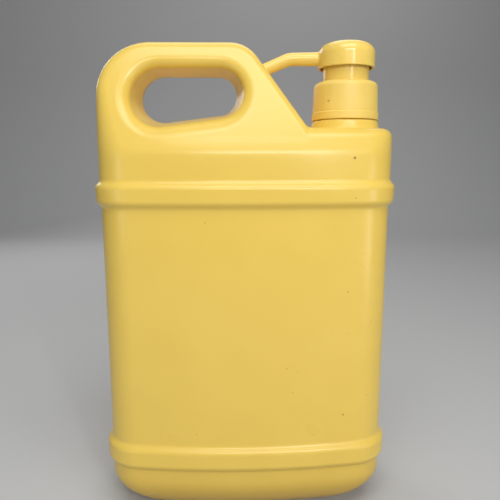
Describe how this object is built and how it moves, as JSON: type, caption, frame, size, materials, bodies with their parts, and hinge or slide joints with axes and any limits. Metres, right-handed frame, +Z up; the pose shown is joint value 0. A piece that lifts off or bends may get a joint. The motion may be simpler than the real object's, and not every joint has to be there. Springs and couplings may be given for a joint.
{
  "type": "plastic jug with lotion pump",
  "caption": "Slim blow-moulded plastic jug with a finger-hole grip, raised bands and a screw-on lotion pump that lifts, swivels and unscrews.",
  "frame": {"origin": "centre of the jug's footprint, on the surface that it stands on", "axes": "+Z up, +X along the jug's width from the grip to the pump, +Y along its depth, away from the front face"},
  "size_m": [0.1806, 0.0952, 0.2942],
  "materials": {
    "jug_plastic": "satin blow-moulded polyethylene",
    "closure_plastic": "satin moulded polypropylene",
    "head_plastic": "smooth moulded polypropylene",
    "natural_plastic": "undyed, milky",
    "piston_plastic": "smooth",
    "gasket_foam": "fine closed-cell foam",
    "spring_steel": "drawn wire",
    "ball_steel": "ground and polished"
  },
  "bodies": {
    "jug": {"jug_body": "jug_plastic"},
    "pump": {"pump_housing": "natural_plastic", "neck_gasket": "gasket_foam", "chaplet": "head_plastic", "dip_tube": "natural_plastic", "suction_ball": "ball_steel", "return_spring": "spring_steel"},
    "closure": {"screw_closure": "closure_plastic"},
    "plunger": {"piston": "piston_plastic", "piston_seat": "piston_plastic"},
    "head": {"press_head": "head_plastic", "stem": "natural_plastic", "outlet_ball": "ball_steel"}
  },
  "joints": [
    {"name": "pump_lift", "type": "slide", "parent": "jug", "child": "pump", "axis": [0, 0, 1], "range_m": [0, 0.006]},
    {"name": "closure_turn", "type": "hinge", "parent": "pump", "child": "closure", "pos_m": [0.0635, 0, 0.2473], "axis": [0, 0, 1], "range_deg": [0, 540]},
    {"name": "head_lift", "type": "slide", "parent": "pump", "child": "plunger", "axis": [0, 0, 1], "range_m": [0, 0.016], "deforming": ["return_spring"]},
    {"name": "head_swivel", "type": "hinge", "parent": "plunger", "child": "head", "pos_m": [0.0635, 0, 0.2788], "axis": [0, 0, 1], "continuous": true}
  ],
  "couplings": [
    {"joint": "pump_lift", "follows": "closure_turn", "m_per_rad": 0.000636}
  ]
}
